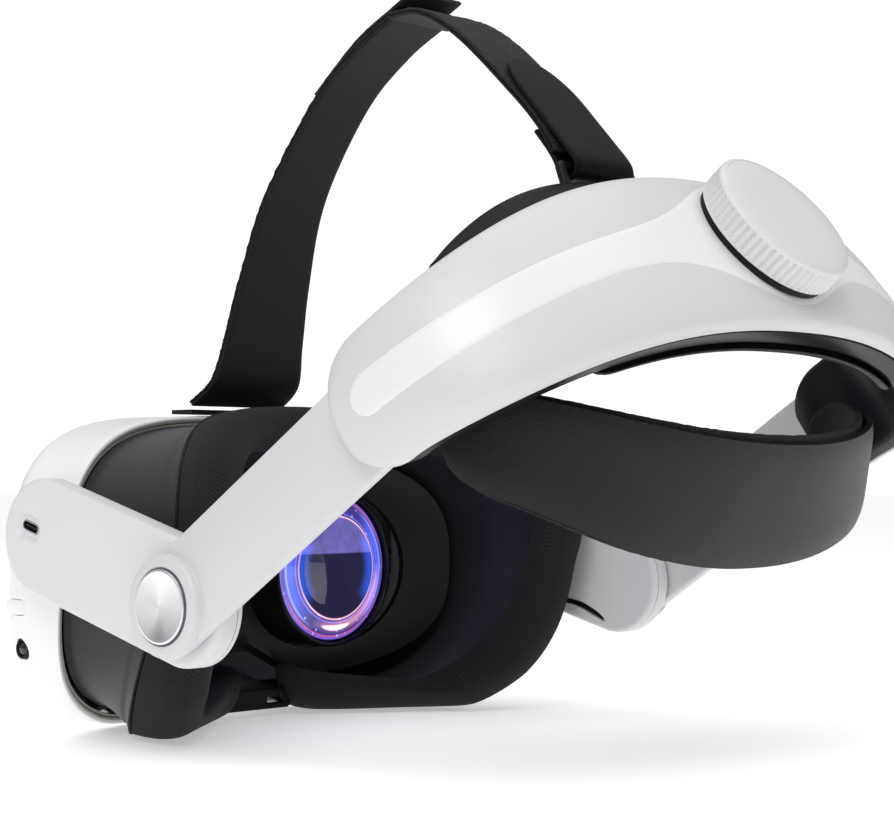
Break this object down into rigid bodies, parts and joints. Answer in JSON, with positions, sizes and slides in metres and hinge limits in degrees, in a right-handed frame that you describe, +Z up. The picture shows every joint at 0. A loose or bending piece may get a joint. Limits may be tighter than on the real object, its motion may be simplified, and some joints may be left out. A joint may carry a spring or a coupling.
{
  "type": "virtual reality headset",
  "caption": "Head-worn display visor with knit face cushion, hinged temple arms, a rigid rear halo strap with a size-adjusting dial, and a webbing top strap.",
  "frame": {"origin": "middle of the bounding box's lower face, on the surface the visor rests on", "axes": "-Y is where the wearer looks, +Y towards the back of the head, +X to the wearer's left, +Z up"},
  "size_m": [0.2198, 0.2708, 0.2184],
  "materials": {
    "white_plastic": "satin white moulded plastic",
    "white_gloss": "polished white moulded plastic",
    "pale_plastic": "fine textured pale grey plastic",
    "charcoal_plastic": "soft-touch charcoal",
    "black_plastic": "fine satin black",
    "window_plastic": "polished dark window",
    "camera_glass": "dark coated glass",
    "lens_glass": "moulded lens, lit from behind",
    "display_panel": "flat screen",
    "board": "green board",
    "cell_wrap": "wrapped cell",
    "knit_cushion": "black spacer knit over foam",
    "strap_webbing": "black hook-and-loop webbing",
    "foam": "black open foam",
    "pebble_leather": "black pebbled leatherette",
    "brushed_disc": "turned, circular brushed",
    "steel": "bright steel",
    "aluminium_part": "bead blasted",
    "rack_nylon": "moulded nylon"
  },
  "bodies": {
    "headset": {"front_shell": "white_plastic", "sensor_window": "window_plastic", "front_camera_left": "camera_glass", "front_camera_right": "camera_glass", "side_camera_left": "camera_glass", "side_camera_right": "camera_glass", "midframe": "aluminium_part", "mainboard": "board", "battery": "cell_wrap", "heat_sink": "aluminium_part", "cooling_fan": "black_plastic", "inner_shroud": "black_plastic", "strap_anchor": "black_plastic", "wheel_pin": "steel", "top_strap_front": "strap_webbing"},
    "facial_interface": {"spacer_frame": "charcoal_plastic", "face_cushion": "knit_cushion"},
    "left_eye": {"lens_barrel_left": "black_plastic", "lens_left": "lens_glass", "display_left": "display_panel"},
    "right_eye": {"lens_barrel_right": "black_plastic", "lens_right": "lens_glass", "display_right": "display_panel"},
    "spacing_wheel": {"spacing_wheel": "black_plastic"},
    "power_button": {"power_button": "white_gloss"},
    "volume_rocker": {"volume_rocker": "white_gloss"},
    "left_temple": {"temple_cover_left": "white_plastic", "temple_inner_left": "pale_plastic", "speaker_left": "black_plastic", "temple_pin_left": "steel", "hub_pin_left": "steel", "charging_port": "steel"},
    "right_temple": {"temple_cover_right": "white_plastic", "temple_inner_right": "pale_plastic", "speaker_right": "black_plastic", "temple_pin_right": "steel", "hub_pin_right": "steel", "audio_jack": "steel"},
    "left_strap_arm": {"strap_arm_left": "white_plastic", "hub_boss_left": "white_plastic", "hub_cap_left": "brushed_disc", "rack_left": "rack_nylon"},
    "right_strap_arm": {"strap_arm_right": "white_plastic", "hub_boss_right": "white_plastic", "hub_cap_right": "brushed_disc", "rack_right": "rack_nylon"},
    "rear_housing": {"housing_cover": "white_plastic", "housing_inner": "black_plastic", "housing_inlay": "white_gloss", "rear_liner": "pebble_leather", "detent_spring": "steel", "lower_band": "pebble_leather", "band_foam": "foam", "crown_flap": "black_plastic", "strap_buckle": "black_plastic", "top_strap_rear": "strap_webbing", "strap_tab": "strap_webbing"},
    "knob": {"knob_ring": "white_plastic", "knob_cap": "white_plastic", "knob_pinion": "rack_nylon"}
  },
  "joints": [
    {"name": "interface_slide", "type": "slide", "parent": "headset", "child": "facial_interface", "axis": [0, 1, 0], "range_m": [0, 0.009]},
    {"name": "left_eye_slide", "type": "slide", "parent": "headset", "child": "left_eye", "axis": [1, 0, 0], "range_m": [-0.0025, 0.004]},
    {"name": "right_eye_slide", "type": "slide", "parent": "headset", "child": "right_eye", "axis": [1, 0, 0], "range_m": [-0.004, 0.0025]},
    {"name": "wheel_turn", "type": "hinge", "parent": "headset", "child": "spacing_wheel", "pos_m": [0.04, -0.11793, 0.0086], "axis": [1, 0, 0], "range_deg": [-45, 70]},
    {"name": "power_press", "type": "slide", "parent": "headset", "child": "power_button", "axis": [-1, 0, 0], "range_m": [0, 0.001], "stiffness_N_per_m": 300},
    {"name": "volume_press", "type": "slide", "parent": "headset", "child": "volume_rocker", "axis": [0, 0, -1], "range_m": [0, 0.001], "stiffness_N_per_m": 300},
    {"name": "left_temple_tilt", "type": "hinge", "parent": "headset", "child": "left_temple", "pos_m": [0, -0.07643, 0.0624], "axis": [1, 0, 0], "range_deg": [-8, 8]},
    {"name": "right_temple_tilt", "type": "hinge", "parent": "headset", "child": "right_temple", "pos_m": [0, -0.07643, 0.0624], "axis": [1, 0, 0], "range_deg": [-8, 8]},
    {"name": "left_hub_turn", "type": "hinge", "parent": "left_temple", "child": "left_strap_arm", "pos_m": [0, -0.00743, 0.0436], "axis": [1, 0, 0], "range_deg": [-30, 15], "deforming": ["top_strap_front", "top_strap_rear", "strap_tab"]},
    {"name": "strap_length", "type": "slide", "parent": "left_strap_arm", "child": "rear_housing", "axis": [0, 0.8368, 0.5476], "range_m": [0, 0.018], "deforming": ["rack_left"]},
    {"name": "right_arm_slide", "type": "slide", "parent": "rear_housing", "child": "right_strap_arm", "axis": [0, 0.8368, 0.5476], "range_m": [-0.018, 0], "deforming": ["rack_right"]},
    {"name": "knob_turn", "type": "hinge", "parent": "rear_housing", "child": "knob", "pos_m": [0, 0.10993, 0.13652], "axis": [0, 0.766, 0.6428], "range_deg": [0, 213]}
  ],
  "couplings": [
    {"joint": "right_eye_slide", "follows": "left_eye_slide", "ratio": -1},
    {"joint": "wheel_turn", "follows": "left_eye_slide", "rad_per_m": 300},
    {"joint": "right_temple_tilt", "follows": "left_temple_tilt", "ratio": 1},
    {"joint": "right_arm_slide", "follows": "strap_length", "ratio": -1},
    {"joint": "knob_turn", "follows": "strap_length", "rad_per_m": 206.19}
  ]
}
